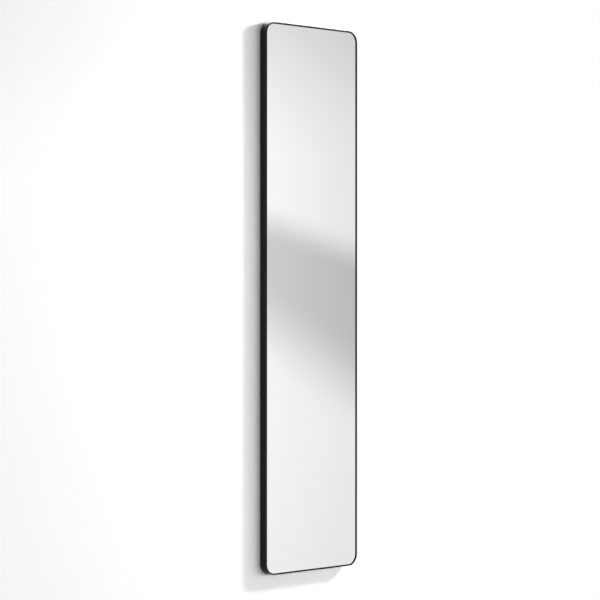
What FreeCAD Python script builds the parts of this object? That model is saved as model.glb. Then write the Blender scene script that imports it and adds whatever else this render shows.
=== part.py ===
import FreeCAD, Part
import math
import os
import re
import Sketcher

# A tall wall mirror: glass on a fibreboard back, inside a frame bent from flat steel bar,
# hung on a pair of aluminium rails that hook into each other.
# Millimetres. +Z is up, +X is to the right seen from the front and the mirror faces -Y.
# The wall is the plane y = 0. The origin is midway between the two screw slots of the wall rail.

SIZES = [
    ("frame_height", 1700, "outside height of the frame"),
    ("frame_width", 400, "outside width of the frame"),
    ("frame_depth", 25, "width of the flat bar, front to back"),
    ("bar_thick", 3, "thickness of the flat bar"),
    ("corner_radius", 36, "outside radius of the bends"),
    ("bar_edge_round", 0.4, "rounding along the edges of the bar"),
    ("glass_thick", 4, "thickness of the mirror glass"),
    ("glass_recess", 3, "step from the front edge of the bar back to the glass"),
    ("glass_clearance", 1, "gap all round between glass and bar"),
    ("glass_arris", 0.6, "ground chamfer round the front of the glass"),
    ("film_thick", 0.2, "thickness of the safety film on the back of the glass"),
    ("film_margin", 2, "strip of glass left bare round the film"),
    ("tape_thick", 1, "thickness of the foam tape between film and board"),
    ("tape_width", 24, "width of one strip of foam tape"),
    ("tape_margin", 60, "distance from the end of a strip to the edge of the glass"),
    ("board_thick", 9, "thickness of the fibreboard back"),
    ("board_clearance", 0.5, "gap all round between board and bar"),
    ("tab_thick", 2, "thickness of the tabs welded inside the frame"),
    ("tab_width", 26, "length of a tab along the bar"),
    ("tab_reach", 20, "distance that a tab stands in from the bar"),
    ("tab_round", 5, "radius of the free corners of a tab"),
    ("tab_hole_inset", 12, "distance from the bar to the hole in a tab"),
    ("tab_weld", 2.5, "leg of the weld bead at the root of a tab"),
    ("tab_margin", 140, "distance from the end of the frame to the first side tab"),
    ("batten_thick", 6, "thickness of the two cross battens"),
    ("batten_height", 42, "height of a cross batten"),
    ("batten_side_gap", 50, "distance from the end of a batten to the outside of the frame"),
    ("batten_edge", 1, "chamfer round the back of a batten"),
    ("foot_batten_rise", 110, "height of the lower batten above the bottom of the frame"),
    ("rail_thick", 2.5, "thickness of the rail section"),
    ("rail_clearance", 0.6, "play of one rail's hook inside the other rail"),
    ("rail_base", 22, "height of the flat base of a rail"),
    ("rail_hook", 12, "height of the hook of the wall rail"),
    ("rail_side_gap", 80, "distance from the end of a rail to the outside of the frame"),
    ("hang_drop", 150, "distance from the top of the frame down to the wall screws"),
    ("slot_width", 5.5, "width of the screw slots in the wall rail"),
    ("slot_length", 14, "length of the screw slots from end to end"),
    ("slot_inset", 30, "distance from the end of the wall rail to the middle of a slot"),
    ("screw_radius", 1.75, "radius of the screws that go into the board"),
    ("screw_clearance", 0.1, "gap round a screw in its pilot hole"),
    ("screw_loose", 0.5, "gap round a screw in metal and rubber"),
    ("screw_head_radius", 3.6, "radius of the pan heads"),
    ("screw_head_height", 2.2, "height of the pan heads"),
    ("screw_head_round", 1.5, "rounding of the pan heads"),
    ("screw_drive_width", 1.1, "width of each arm of the cross recess"),
    ("screw_drive_span", 3.8, "span of the cross recess"),
    ("screw_drive_depth", 1.3, "depth of the cross recess"),
    ("screw_tip_margin", 2, "board left whole in front of the screw tips"),
    ("screw_hole_relief", 0.4, "pilot hole left empty past the screw tips"),
    ("bumper_radius", 10, "radius of a rubber bumper where it meets the batten"),
    ("bumper_taper", 1, "loss of radius from the batten to the wall"),
    ("bumper_floor", 2.2, "rubber left under the screw head"),
    ("bumper_well_gap", 0.8, "gap round the screw head in the bumper"),
    ("bumper_inset", 34, "distance from the end of the batten to the middle of a bumper"),
]
TABS_PER_SIDE = 4
TAPE_STRIPS = 4
RAIL_SCREWS = 4
# Degrees by which each screw of a group was driven further than the one before
SCREW_TURN_STEP = 37
# Distance under which an edge counts as lying in a plane
TOUCH = 1e-4

doc = FreeCAD.newDocument("wall_mirror")
sheet = doc.addObject("Spreadsheet::Sheet", "Sizes")
for row, (alias, value, meaning) in enumerate(SIZES, start=1):
    sheet.set(f"A{row}", alias)
    sheet.set(f"B{row}", str(value))
    sheet.set(f"C{row}", meaning)
    sheet.setAlias(f"B{row}", alias)
doc.recompute()
ALIASES = {alias for alias, value, meaning in SIZES}

# Formulas made of the sizes above. Depths are measured from the wall, so they are negative.
# The mirror's hook lies in the middle of the gap behind the wall rail's hook.
hook_gap = "(rail_thick + rail_clearance)"
rail_seat = f"(-{hook_gap} - rail_thick - rail_clearance / 2)"
board_back = f"({rail_seat} - batten_thick)"
board_front = f"({board_back} - board_thick)"
film_back = f"({board_front} - tape_thick)"
glass_back = f"({film_back} - film_thick)"
frame_front = f"({glass_back} - glass_thick - glass_recess)"
frame_back = f"({frame_front} + frame_depth)"
tab_back = f"({board_back} + tab_thick)"

frame_top = "hang_drop"
frame_bottom = "(hang_drop - frame_height)"
frame_middle = "(hang_drop - frame_height / 2)"
rail_middle = "(rail_base + rail_hook)"
foot_middle = f"({frame_bottom} + foot_batten_rise)"

glass_width = "(frame_width - 2 * bar_thick - 2 * glass_clearance)"
glass_height = "(frame_height - 2 * bar_thick - 2 * glass_clearance)"
glass_radius = "(corner_radius - bar_thick - glass_clearance)"
board_width = "(frame_width - 2 * bar_thick - 2 * board_clearance)"
board_height = "(frame_height - 2 * bar_thick - 2 * board_clearance)"
board_radius = "(corner_radius - bar_thick - board_clearance)"
batten_width = "(frame_width - 2 * batten_side_gap)"
rail_length = "(frame_width - 2 * rail_side_gap)"
slot_reach = f"({rail_length} / 2 - slot_inset)"
rail_screw_reach = f"({rail_length} / 2 - slot_inset / 2)"
bumper_reach = f"({batten_width} / 2 - bumper_inset)"
pilot_radius = "(screw_radius + screw_clearance)"
loose_radius = "(screw_radius + screw_loose)"
screw_bite = "(board_thick - screw_tip_margin)"


def cells(text):
    """Turn the size names in a formula into references to the sheet."""
    return re.sub(r"[a-z][a-z_]+", lambda m: "Sizes." + m[0] if m[0] in ALIASES else m[0], text)


def number(text):
    """Work out a formula of sizes."""
    return float(sheet.evalExpression(cells(text)))


def place(target, x="0", y="0", z="0", rotation=None):
    """Tie the position of an object to formulas, and give it a fixed rotation."""
    target.Placement = FreeCAD.Placement(FreeCAD.Vector(), rotation or FreeCAD.Rotation())
    for axis, text in zip("xyz", (x, y, z)):
        target.setExpression(f".Placement.Base.{axis}", cells(text))


def about_y(degrees):
    return FreeCAD.Rotation(FreeCAD.Vector(0, 1, 0), degrees)


# Sketches, all on the origin planes of their own body
def new_body(name):
    body = doc.addObject("PartDesign::Body", name)
    body.Label = name
    return body


def new_sketch(body, role="XZ_Plane", lift="0"):
    plane = next(item for item in body.Origin.OriginFeatures if item.Role == role)
    sketch = body.newObject("Sketcher::SketchObject", body.Name + "_sketch")
    sketch.AttachmentSupport = [(plane, "")]
    sketch.MapMode = "FlatFace"
    sketch.setExpression(".AttachmentOffset.Base.z", cells(lift))
    return sketch


def hold(sketch, kind, points, text):
    """Add one dimension to a sketch and tie it to a formula."""
    index = sketch.addConstraint(Sketcher.Constraint(kind, *points, number(text)))
    name = f"size_{index}"
    sketch.renameConstraint(index, name)
    sketch.setExpression(f"Constraints.{name}", cells(text))


def pin(sketch, geometry, end, x, y):
    """Hold one point of a sketch at a position from the sketch's origin."""
    hold(sketch, "DistanceX", (-1, 1, geometry, end), x)
    hold(sketch, "DistanceY", (-1, 1, geometry, end), y)


def add_polygon(sketch, corners):
    """Draw a closed outline through corners that are given as formulas."""
    spots = [FreeCAD.Vector(number(x), number(y), 0) for x, y in corners]
    after = spots[1:] + spots[:1]
    lines = [sketch.addGeometry(Part.LineSegment(a, b)) for a, b in zip(spots, after)]
    for line, following in zip(lines, lines[1:] + lines[:1]):
        sketch.addConstraint(Sketcher.Constraint("Coincident", line, 2, following, 1))
    for line, (x, y) in zip(lines, corners):
        pin(sketch, line, 1, x, y)


def add_rectangle(sketch, width, height):
    """Draw a rectangle about the sketch's origin."""
    right, top = f"{width} / 2", f"{height} / 2"
    left, bottom = f"-{width} / 2", f"-{height} / 2"
    add_polygon(sketch, [(left, bottom), (right, bottom), (right, top), (left, top)])


def add_circle(sketch, radius, x="0", y="0"):
    centre = FreeCAD.Vector(number(x), number(y), 0)
    circle = sketch.addGeometry(Part.Circle(centre, FreeCAD.Vector(0, 0, 1), number(radius)))
    hold(sketch, "Radius", (circle,), radius)
    pin(sketch, circle, 3, x, y)


def add_arc(sketch, x, y, radius, first, last):
    centre = FreeCAD.Vector(x, y, 0)
    circle = Part.Circle(centre, FreeCAD.Vector(0, 0, 1), radius)
    return sketch.addGeometry(Part.ArcOfCircle(circle, math.radians(first), math.radians(last)))


def add_line(sketch, start, end):
    return sketch.addGeometry(Part.LineSegment(FreeCAD.Vector(*start, 0), FreeCAD.Vector(*end, 0)))


def chain(sketch, pieces):
    """Join arcs and lines into one smooth closed outline."""
    for piece, following in zip(pieces, pieces[1:] + pieces[:1]):
        sketch.addConstraint(Sketcher.Constraint("Tangent", piece, 2, following, 1))


def add_rounded_rectangle(sketch, width, height, radius):
    """Draw a rectangle with rounded corners about the sketch's origin."""
    right, top, bend = number(width) / 2, number(height) / 2, number(radius)
    x, y = right - bend, top - bend
    ne = add_arc(sketch, x, y, bend, 0, 90)
    north = add_line(sketch, (x, top), (-x, top))
    nw = add_arc(sketch, -x, y, bend, 90, 180)
    west = add_line(sketch, (-right, y), (-right, -y))
    sw = add_arc(sketch, -x, -y, bend, 180, 270)
    south = add_line(sketch, (-x, -top), (x, -top))
    se = add_arc(sketch, x, -y, bend, 270, 360)
    east = add_line(sketch, (right, -y), (right, y))
    chain(sketch, [ne, north, nw, west, sw, south, se, east])
    for corner in (nw, sw, se):
        sketch.addConstraint(Sketcher.Constraint("Equal", ne, corner))
    sketch.addConstraint(Sketcher.Constraint("Symmetric", north, 1, north, 2, -2))
    sketch.addConstraint(Sketcher.Constraint("Symmetric", west, 1, west, 2, -1))
    sketch.addConstraint(Sketcher.Constraint("Horizontal", south))
    sketch.addConstraint(Sketcher.Constraint("Vertical", east))
    hold(sketch, "DistanceX", (-1, 1, east, 1), f"{width} / 2")
    hold(sketch, "DistanceY", (-1, 1, north, 1), f"{height} / 2")
    hold(sketch, "Radius", (ne,), radius)


def add_slot(sketch, x, length, width):
    """Draw a level slot with round ends, centred on the sketch's X axis."""
    middle, bend = number(x), number(width) / 2
    half = number(length) / 2 - bend
    right = add_arc(sketch, middle + half, 0, bend, -90, 90)
    top = add_line(sketch, (middle + half, bend), (middle - half, bend))
    left = add_arc(sketch, middle - half, 0, bend, 90, 270)
    bottom = add_line(sketch, (middle - half, -bend), (middle + half, -bend))
    chain(sketch, [right, top, left, bottom])
    hold(sketch, "Radius", (right,), f"{width} / 2")
    pin(sketch, right, 3, f"{x} + ({length} - {width}) / 2", "0")
    pin(sketch, left, 3, f"{x} - ({length} - {width}) / 2", "0")


# Solid features
def pad(body, sketch, length, midplane=False):
    feature = body.newObject("PartDesign::Pad", body.Name + "_pad")
    feature.Profile = sketch
    feature.Midplane = midplane
    feature.setExpression("Length", cells(length))
    doc.recompute()
    return feature


def pocket(body, sketch, depth):
    """Cut from the sketch towards the front of the mirror, and prove that material went away."""
    before = body.Shape.Volume
    feature = body.newObject("PartDesign::Pocket", body.Name + "_pocket")
    feature.Profile = sketch
    feature.Reversed = True
    feature.setExpression("Length", cells(depth))
    doc.recompute()
    if body.Shape.Volume >= before:
        raise ValueError(body.Label + ": a pocket cut nothing")
    return feature


def revolve(body, sketch):
    feature = body.newObject("PartDesign::Revolution", body.Name + "_turned")
    feature.Profile = sketch
    feature.ReferenceAxis = (sketch, ["V_Axis"])
    feature.Angle = 360
    doc.recompute()
    return feature


def edges_where(feature, test):
    """Name the edges of a feature whose end points all pass a test."""
    edges = enumerate(feature.Shape.Edges, start=1)
    return [f"Edge{i}" for i, edge in edges if all(test(v.Point) for v in edge.Vertexes)]


def at_depth(feature, *depths):
    """Name the edges that lie in planes at the given depths."""
    def lies(plane):
        return edges_where(feature, lambda point: abs(point.y - plane) < TOUCH)
    return [edge for depth in depths for edge in lies(depth)]


def free_corners(feature, reach):
    """Name the edges that run through a plate's thickness at its free end."""
    ends = edges_where(feature, lambda point: abs(point.x - reach) < TOUCH)
    return [edge for edge in ends if feature.getSubObject(edge).BoundBox.YLength > TOUCH]


def dress(body, kind, base, edges, size):
    """Round or chamfer some edges of a feature."""
    feature = body.newObject("PartDesign::" + kind, body.Name + "_edge")
    feature.Base = (base, edges)
    feature.setExpression("Radius" if kind == "Fillet" else "Size", cells(size))
    doc.recompute()
    return feature


# Where the fasteners and tabs go, as formulas: x, z and the turn of each tab about Y
side_x = "(frame_width / 2 - bar_thick)"
end_z = "(frame_height / 2 - bar_thick)"
tab_pitch = f"((frame_height - 2 * tab_margin) / {TABS_PER_SIDE - 1})"

tabs = []
for step in range(TABS_PER_SIDE):
    height = f"({frame_top} - tab_margin - {step} * {tab_pitch})"
    tabs.append((f"frame_tab_left_{step + 1}", f"-{side_x}", height, 0))
    tabs.append((f"frame_tab_right_{step + 1}", side_x, height, 180))
tabs.append(("frame_tab_top", "0", f"({frame_middle} + {end_z})", 90))
tabs.append(("frame_tab_bottom", "0", f"({frame_middle} - {end_z})", -90))


def tab_screw_spot(x, z, turn):
    """Step from the root of a tab to its hole."""
    across = round(math.cos(math.radians(turn)))
    upward = -round(math.sin(math.radians(turn)))
    return f"({x} + {across} * tab_hole_inset)", f"({z} + {upward} * tab_hole_inset)"


tab_screw_spots = [tab_screw_spot(x, z, turn) for name, x, z, turn in tabs]
rail_screw_steps = [2 * step / (RAIL_SCREWS - 1) - 1 for step in range(RAIL_SCREWS)]
rail_screw_xs = [f"({step} * {rail_screw_reach})" for step in rail_screw_steps]
rail_screw_spots = [(x, rail_middle) for x in rail_screw_xs]
bumper_xs = [f"(-{bumper_reach})", bumper_reach]
bumper_spots = [(x, foot_middle) for x in bumper_xs]
foot_screw_xs = [f"(-{bumper_reach} / 2)", f"({bumper_reach} / 2)"]
foot_screw_spots = [(x, foot_middle) for x in foot_screw_xs]


# Frame: one length of flat bar bent round four corners and welded into a ring
frame = new_body("frame_bar")
outline = new_sketch(frame)
add_rounded_rectangle(outline, "frame_width", "frame_height", "corner_radius")
inner_width = "(frame_width - 2 * bar_thick)"
inner_height = "(frame_height - 2 * bar_thick)"
add_rounded_rectangle(outline, inner_width, inner_height, "(corner_radius - bar_thick)")
bar = pad(frame, outline, "frame_depth")
long_edges = at_depth(bar, 0, -number("frame_depth"))
dress(frame, "Fillet", bar, long_edges, "bar_edge_round")
place(frame, y=frame_back, z=frame_middle)


# Tabs welded to the inside of the bar, each with its bead
def make_tab(name, x, z, turn):
    body = new_body(name)
    outline = new_sketch(body)
    near, far = "-tab_width / 2", "tab_width / 2"
    add_polygon(outline, [("0", near), ("tab_reach", near), ("tab_reach", far), ("0", far)])
    plate = pad(body, outline, "tab_thick")
    dress(body, "Fillet", plate, free_corners(plate, number("tab_reach")), "tab_round")
    hole = new_sketch(body)
    add_circle(hole, loose_radius, "tab_hole_inset")
    pocket(body, hole, "tab_thick")
    bead = new_sketch(body, "XY_Plane")
    add_polygon(bead, [("0", "0"), ("tab_weld", "0"), ("0", "tab_weld")])
    pad(body, bead, "(tab_width - 2 * tab_weld)", midplane=True)
    place(body, x, tab_back, z, about_y(turn))
    return body


tab_bodies = [make_tab(*tab) for tab in tabs]


# Glass, film, foam tape and board, from front to back
def make_plate(name, width, height, radius, thick, back):
    body = new_body(name)
    outline = new_sketch(body)
    add_rounded_rectangle(outline, width, height, radius)
    pad(body, outline, thick)
    place(body, y=back, z=frame_middle)
    return body


glass = make_plate(
    "mirror_glass", glass_width, glass_height, glass_radius, "glass_thick", glass_back)
front_edges = at_depth(glass.Tip, -number("glass_thick"))
dress(glass, "Chamfer", glass.Tip, front_edges, "glass_arris")

film = make_plate(
    "safety_film", f"({glass_width} - 2 * film_margin)", f"({glass_height} - 2 * film_margin)",
    f"({glass_radius} - film_margin)", "film_thick", film_back)

tapes = []
for strip in range(TAPE_STRIPS):
    tape = doc.addObject("Part::Box", f"foam_tape_{strip + 1}")
    tape.Label = tape.Name
    tape.setExpression("Length", cells("tape_width"))
    tape.setExpression("Width", cells("tape_thick"))
    tape.setExpression("Height", cells(f"{glass_height} - 2 * tape_margin"))
    middle = f"({(strip + 0.5) / TAPE_STRIPS - 0.5} * {glass_width})"
    foot = f"({frame_middle} - {glass_height} / 2 + tape_margin)"
    place(tape, f"{middle} - tape_width / 2", film_back, foot)
    tapes.append(tape)

board = make_plate(
    "backboard", board_width, board_height, board_radius, "board_thick", board_back)
pilots = new_sketch(board)
for x, z in tab_screw_spots + rail_screw_spots + bumper_spots + foot_screw_spots:
    add_circle(pilots, pilot_radius, x, f"({z} - {frame_middle})")
pocket(board, pilots, f"{screw_bite} + screw_hole_relief")


# Battens that space the rail and the bumpers off the board
def make_batten(name, hole_xs, middle):
    body = new_body(name)
    outline = new_sketch(body)
    add_rectangle(outline, batten_width, "batten_height")
    strip = pad(body, outline, "batten_thick")
    dress(body, "Chamfer", strip, at_depth(strip, 0), "batten_edge")
    holes = new_sketch(body)
    for x in hole_xs:
        add_circle(holes, pilot_radius, x)
    pocket(body, holes, "batten_thick")
    place(body, y=rail_seat, z=middle)
    return body


rail_batten = make_batten("rail_batten", rail_screw_xs, rail_middle)
foot_batten = make_batten("foot_batten", bumper_xs + foot_screw_xs, foot_middle)


# Two lengths of one hooked section: the mirror's rail is the wall's rail turned upside down
def make_rail(name, hook):
    body = new_body(name)
    section = new_sketch(body, "YZ_Plane")
    top, foot = "rail_base / 2", "-rail_base / 2"
    tip = f"rail_base / 2 + {hook}"
    under = "rail_base / 2 - rail_thick"
    inside, outside = f"-{hook_gap}", f"-{hook_gap} - rail_thick"
    add_polygon(section, [
        ("0", foot), ("0", top), (inside, top), (inside, tip),
        (outside, tip), (outside, under), ("-rail_thick", under), ("-rail_thick", foot)])
    pad(body, section, rail_length, midplane=True)
    return body


wall_rail = make_rail("wall_rail", "rail_hook")
slots = new_sketch(wall_rail)
add_slot(slots, f"(-{slot_reach})", "slot_length", "slot_width")
add_slot(slots, slot_reach, "slot_length", "slot_width")
pocket(wall_rail, slots, "rail_thick")
place(wall_rail)

mirror_rail = make_rail("mirror_rail", "(rail_hook - rail_clearance)")
rail_holes = new_sketch(mirror_rail)
for x in rail_screw_xs:
    add_circle(rail_holes, loose_radius, x)
pocket(mirror_rail, rail_holes, "rail_thick")
upside_down = FreeCAD.Rotation(FreeCAD.Vector(1, 0, 0), 180)
place(mirror_rail, y=rail_seat, z=rail_middle, rotation=upside_down)


# Rubber bumpers that hold the lower end off the wall
def make_bumper(name, x):
    body = new_body(name)
    section = new_sketch(body, "XY_Plane")
    well = "(screw_head_radius + bumper_well_gap)"
    rise = f"(-{rail_seat})"
    add_polygon(section, [
        (loose_radius, "0"), ("bumper_radius", "0"), ("bumper_radius - bumper_taper", rise),
        (well, rise), (well, "bumper_floor"), (loose_radius, "bumper_floor")])
    revolve(body, section)
    place(body, x, rail_seat, foot_middle)
    return body


bumper_left = make_bumper("bumper_left", bumper_xs[0])
bumper_right = make_bumper("bumper_right", bumper_xs[1])


# Pan-head screws: one pattern screw for each length, and a group of placed copies
def make_screw(name, length):
    body = new_body(name)
    section = new_sketch(body, "XY_Plane")
    shoulder = f"-{length} + screw_radius"
    add_polygon(section, [
        ("0", "screw_head_height"), ("screw_head_radius", "screw_head_height"),
        ("screw_head_radius", "0"), ("screw_radius", "0"),
        ("screw_radius", shoulder), ("0", f"-{length}")])
    turned = revolve(body, section)
    rim = at_depth(turned, number("screw_head_height"))
    dress(body, "Fillet", turned, rim, "screw_head_round")
    arms = [("screw_drive_span", "screw_drive_width"), ("screw_drive_width", "screw_drive_span")]
    for across, along in arms:
        arm = new_sketch(body, lift="-screw_head_height")
        add_rectangle(arm, across, along)
        pocket(body, arm, "screw_drive_depth")
    return body


def make_screw_group(name, length, spots, seat):
    """Put a copy of one screw at every spot, with its head on the plane y = seat."""
    pattern = make_screw(name + "_pattern", length)
    copies = []
    for step, (x, z) in enumerate(spots):
        copy = doc.addObject("App::Link", f"{name}_{step + 1}")
        copy.LinkedObject = pattern
        place(copy, x, seat, z, about_y(SCREW_TURN_STEP * step))
        copies.append(copy)
    group = doc.addObject("Part::Compound", name)
    group.Label = name
    group.Links = copies
    return group


rail_screw_length = f"(rail_thick + batten_thick + {screw_bite})"
foot_screw_length = f"(batten_thick + {screw_bite})"
bumper_screw_length = f"(bumper_floor + batten_thick + {screw_bite})"
screw_groups = [
    make_screw_group("tab_screws", f"(tab_thick + {screw_bite})", tab_screw_spots, tab_back),
    make_screw_group("rail_screws", rail_screw_length, rail_screw_spots,
                     f"{rail_seat} + rail_thick"),
    make_screw_group("foot_batten_screws", foot_screw_length, foot_screw_spots, rail_seat),
    make_screw_group("bumper_screws", bumper_screw_length, bumper_spots,
                     f"{rail_seat} + bumper_floor"),
]

# Check everything, then write one file for each piece
doc.recompute()
for item in doc.Objects:
    if "Invalid" in item.State or "Error" in item.State:
        raise ValueError(f"{item.Label} did not rebuild: {item.State}")

pieces = [frame, glass, film, board, rail_batten, foot_batten, wall_rail, mirror_rail]
pieces += [bumper_left, bumper_right] + tab_bodies + tapes + screw_groups
for piece in pieces:
    if piece.Shape.isNull() or not piece.Shape.isValid():
        raise ValueError(piece.Label + " has no sound shape")

os.makedirs("parts", exist_ok=True)
for piece in pieces:
    piece.Shape.exportStep(f"parts/{piece.Label}.step")
    print(f"{piece.Label}: {len(piece.Shape.Solids)} solid(s), {piece.Shape.Volume / 1000:.2f} cm3")
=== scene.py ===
# %% [markdown]
# # A tall wall mirror with a slim black frame
# The solids of this mirror were drawn at their real size and packed. This lesson loads them, leaves
# them where they are and gives them their looks. Some solids keep their shape and only get a better
# finish. Others are modelled again, with the soft edges and small marks that the real pieces have.
# We keep the box of the solids from the start, because the looks must not make the mirror bigger.

# %% Load the solids
import math

import bmesh
import bpy
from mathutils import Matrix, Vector


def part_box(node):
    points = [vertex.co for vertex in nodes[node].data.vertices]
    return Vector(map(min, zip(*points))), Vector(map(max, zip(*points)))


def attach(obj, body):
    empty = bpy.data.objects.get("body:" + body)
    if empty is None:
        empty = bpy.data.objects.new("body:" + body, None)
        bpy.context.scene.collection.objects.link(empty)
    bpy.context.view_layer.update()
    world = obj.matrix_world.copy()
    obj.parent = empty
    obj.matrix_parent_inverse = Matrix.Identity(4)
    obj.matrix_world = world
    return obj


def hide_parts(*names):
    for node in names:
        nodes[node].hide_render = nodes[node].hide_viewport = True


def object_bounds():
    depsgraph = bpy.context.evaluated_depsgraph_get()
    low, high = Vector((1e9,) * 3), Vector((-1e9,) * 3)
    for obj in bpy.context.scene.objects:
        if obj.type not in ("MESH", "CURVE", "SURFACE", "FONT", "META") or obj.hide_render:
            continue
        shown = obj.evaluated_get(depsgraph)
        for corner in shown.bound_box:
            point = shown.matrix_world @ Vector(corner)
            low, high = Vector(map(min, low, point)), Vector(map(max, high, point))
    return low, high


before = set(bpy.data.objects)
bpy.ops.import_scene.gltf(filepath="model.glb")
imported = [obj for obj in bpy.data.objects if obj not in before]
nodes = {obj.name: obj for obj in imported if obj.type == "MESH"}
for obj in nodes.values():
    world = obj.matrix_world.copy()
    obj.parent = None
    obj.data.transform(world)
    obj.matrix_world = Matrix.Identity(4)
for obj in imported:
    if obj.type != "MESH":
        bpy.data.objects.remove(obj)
cad_low, cad_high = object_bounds()
scene = bpy.context.scene
scene.view_settings.view_transform = "Standard"
MM = 0.001
print(len(nodes), "solids in a box of", [round(side, 4) for side in cad_high - cad_low], "m")

# %% [markdown]
# ## The camera
# The mirror is seen from its left, half way round to the side, and from well back with a long lens, so
# its two long edges stay almost parallel. We could move a camera about until it looks right. It is
# surer to work from the edges of the frame: their slopes give the turn and the distance, and their
# places in the picture give the rest. All offsets are measured from the middle of the frame's front.

# %% Place the camera
LENS_MM = 129.5
VIEW_TURN = math.radians(44.546)
VIEW_DROP = math.radians(0.128)
VIEW_ROLL = math.radians(0.018)
CAMERA_DISTANCE = 6.7505
MIRROR_RIGHT_OF_AXIS = 0.0399
MIRROR_BELOW_AXIS = 0.0107

frame_low, frame_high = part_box("frame_bar")
front_middle = Vector((0, frame_low.y, (frame_low.z + frame_high.z) / 2))
rightward = Vector((math.cos(VIEW_TURN), -math.sin(VIEW_TURN), 0))
ahead = Vector((math.sin(VIEW_TURN), math.cos(VIEW_TURN), 0))
upward = Vector((0, 0, 1))
eye = front_middle - rightward * MIRROR_RIGHT_OF_AXIS - ahead * CAMERA_DISTANCE
eye += upward * MIRROR_BELOW_AXIS
bpy.ops.object.camera_add(location=eye, rotation=(math.pi / 2 - VIEW_DROP, 0, -VIEW_TURN))
camera = bpy.context.object
camera.rotation_euler.rotate_axis("Z", VIEW_ROLL)
camera.data.lens = LENS_MM
scene.camera = camera
print("camera at", [round(side, 3) for side in eye])

# %% [markdown]
# ## Small helpers for nodes
# Finishes and light are both built from nodes, so a few helpers come first. They fill a socket, add a
# node and set it up, do a sum with numbers or with vectors, and turn a value into a soft step.

# %% Node helpers
def feed(tree, socket, value):
    """Give a socket a plain value, or a wire from another node."""
    if isinstance(value, bpy.types.NodeSocket):
        tree.links.new(value, socket)
    else:
        socket.default_value = value


def add_node(tree, kind, inputs=None, **settings):
    """Add a node, set its options, and fill its inputs by name."""
    node = tree.nodes.new(kind)
    for name, value in settings.items():
        setattr(node, name, value)
    for name, value in (inputs or {}).items():
        feed(tree, node.inputs[name], value)
    return node


def calc(tree, operation, *values):
    """Do one sum and hand back the socket with its result."""
    node = add_node(tree, "ShaderNodeMath", operation=operation)
    for socket, value in zip(node.inputs, values):
        feed(tree, socket, value)
    return node.outputs["Value"]


def vector_calc(tree, operation, *values):
    """Do one sum with vectors and hand back the socket with its result."""
    node = add_node(tree, "ShaderNodeVectorMath", operation=operation)
    for socket, value in zip(node.inputs, values):
        feed(tree, socket, value)
    return node.outputs["Value" if operation == "LENGTH" else "Vector"]


def soft_step(tree, value, start, end, low=0.0, high=1.0):
    """Go smoothly from low to high while a value goes from start to end."""
    limits = {"Value": value, "From Min": start, "From Max": end, "To Min": low, "To Max": high}
    node = add_node(tree, "ShaderNodeMapRange", limits, interpolation_type="SMOOTHSTEP")
    return node.outputs["Result"]


print("node helpers ready")

# %% [markdown]
# ## The wall and the floor
# The mirror hangs on a white wall, above a pale floor. A box for a room would hide the mirror's back, so
# both are single sheets that are clear when they are seen from behind, and both fade to plain white far
# from the mirror. Little light gets into the narrow gap between the mirror and the wall. Lamps alone
# would leave that gap too bright, so the paint itself turns black there, behind a softened copy of the
# mirror's outline. The black part is left out of reflections, and so is the floor: what the glass shows
# is made later, with the light. Towards the top the paint is a shade darker, because less of the light
# that the floor throws back gets there. Right of the mirror, on the side of the lamps, the paint would be
# far brighter than white, and would eat into the thin dark line of the frame. So it is plain white there.

# %% Build the wall and the floor
STAGE_SIZE = 24
WALL_GAP = 1 * MM
WALL_WHITE, WALL_TOP_WHITE = 1.14, 1.0
TOP_SHADE = (0.25, 0.95)
BRIGHT_SIDE = (frame_high.x, frame_high.x + 26 * MM)
GAP_SHADE = (-4.5 * MM, -0.5 * MM)
CORNER_RADIUS = 36 * MM
FLOOR_DROP = 0.3
FLOOR_GREY = 0.86
FADE_START, FADE_END = 1.7, 4.5


def add_stage_sheet(name, location, rotation):
    """Add a large sheet with an empty material, and hand back what its paint is made from."""
    bpy.ops.object.select_all(action="DESELECT")
    bpy.ops.mesh.primitive_plane_add(size=STAGE_SIZE, location=location, rotation=rotation)
    sheet = bpy.context.object
    sheet.name = name
    for kind in ("diffuse", "transmission", "shadow"):
        setattr(sheet, "visible_" + kind, False)
    material = bpy.data.materials.new(name)
    material.use_nodes = True
    tree = material.node_tree
    tree.nodes.clear()
    sheet.data.materials.append(material)
    place = add_node(tree, "ShaderNodeTexCoord").outputs["Object"]
    behind = add_node(tree, "ShaderNodeNewGeometry").outputs["Backfacing"]
    return sheet, tree, place, behind


def far_fade(tree, place):
    """Go from 0 near the mirror to 1 far from it."""
    return soft_step(tree, vector_calc(tree, "LENGTH", place), FADE_START, FADE_END)


def finish_paint(tree, colour, white, unseen):
    """Paint a sheet, turn it plain white where it fades, and clear it where it is not seen."""
    paint = add_node(tree, "ShaderNodeBsdfDiffuse", {"Color": colour}).outputs["BSDF"]
    glow = add_node(tree, "ShaderNodeEmission").outputs["Emission"]
    clear = add_node(tree, "ShaderNodeBsdfTransparent").outputs["BSDF"]
    faded = add_node(tree, "ShaderNodeMixShader", {0: white, 1: paint, 2: glow})
    whole = add_node(tree, "ShaderNodeMixShader", {0: unseen, 1: faded.outputs["Shader"], 2: clear})
    add_node(tree, "ShaderNodeOutputMaterial", {"Surface": whole.outputs["Shader"]})


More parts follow.
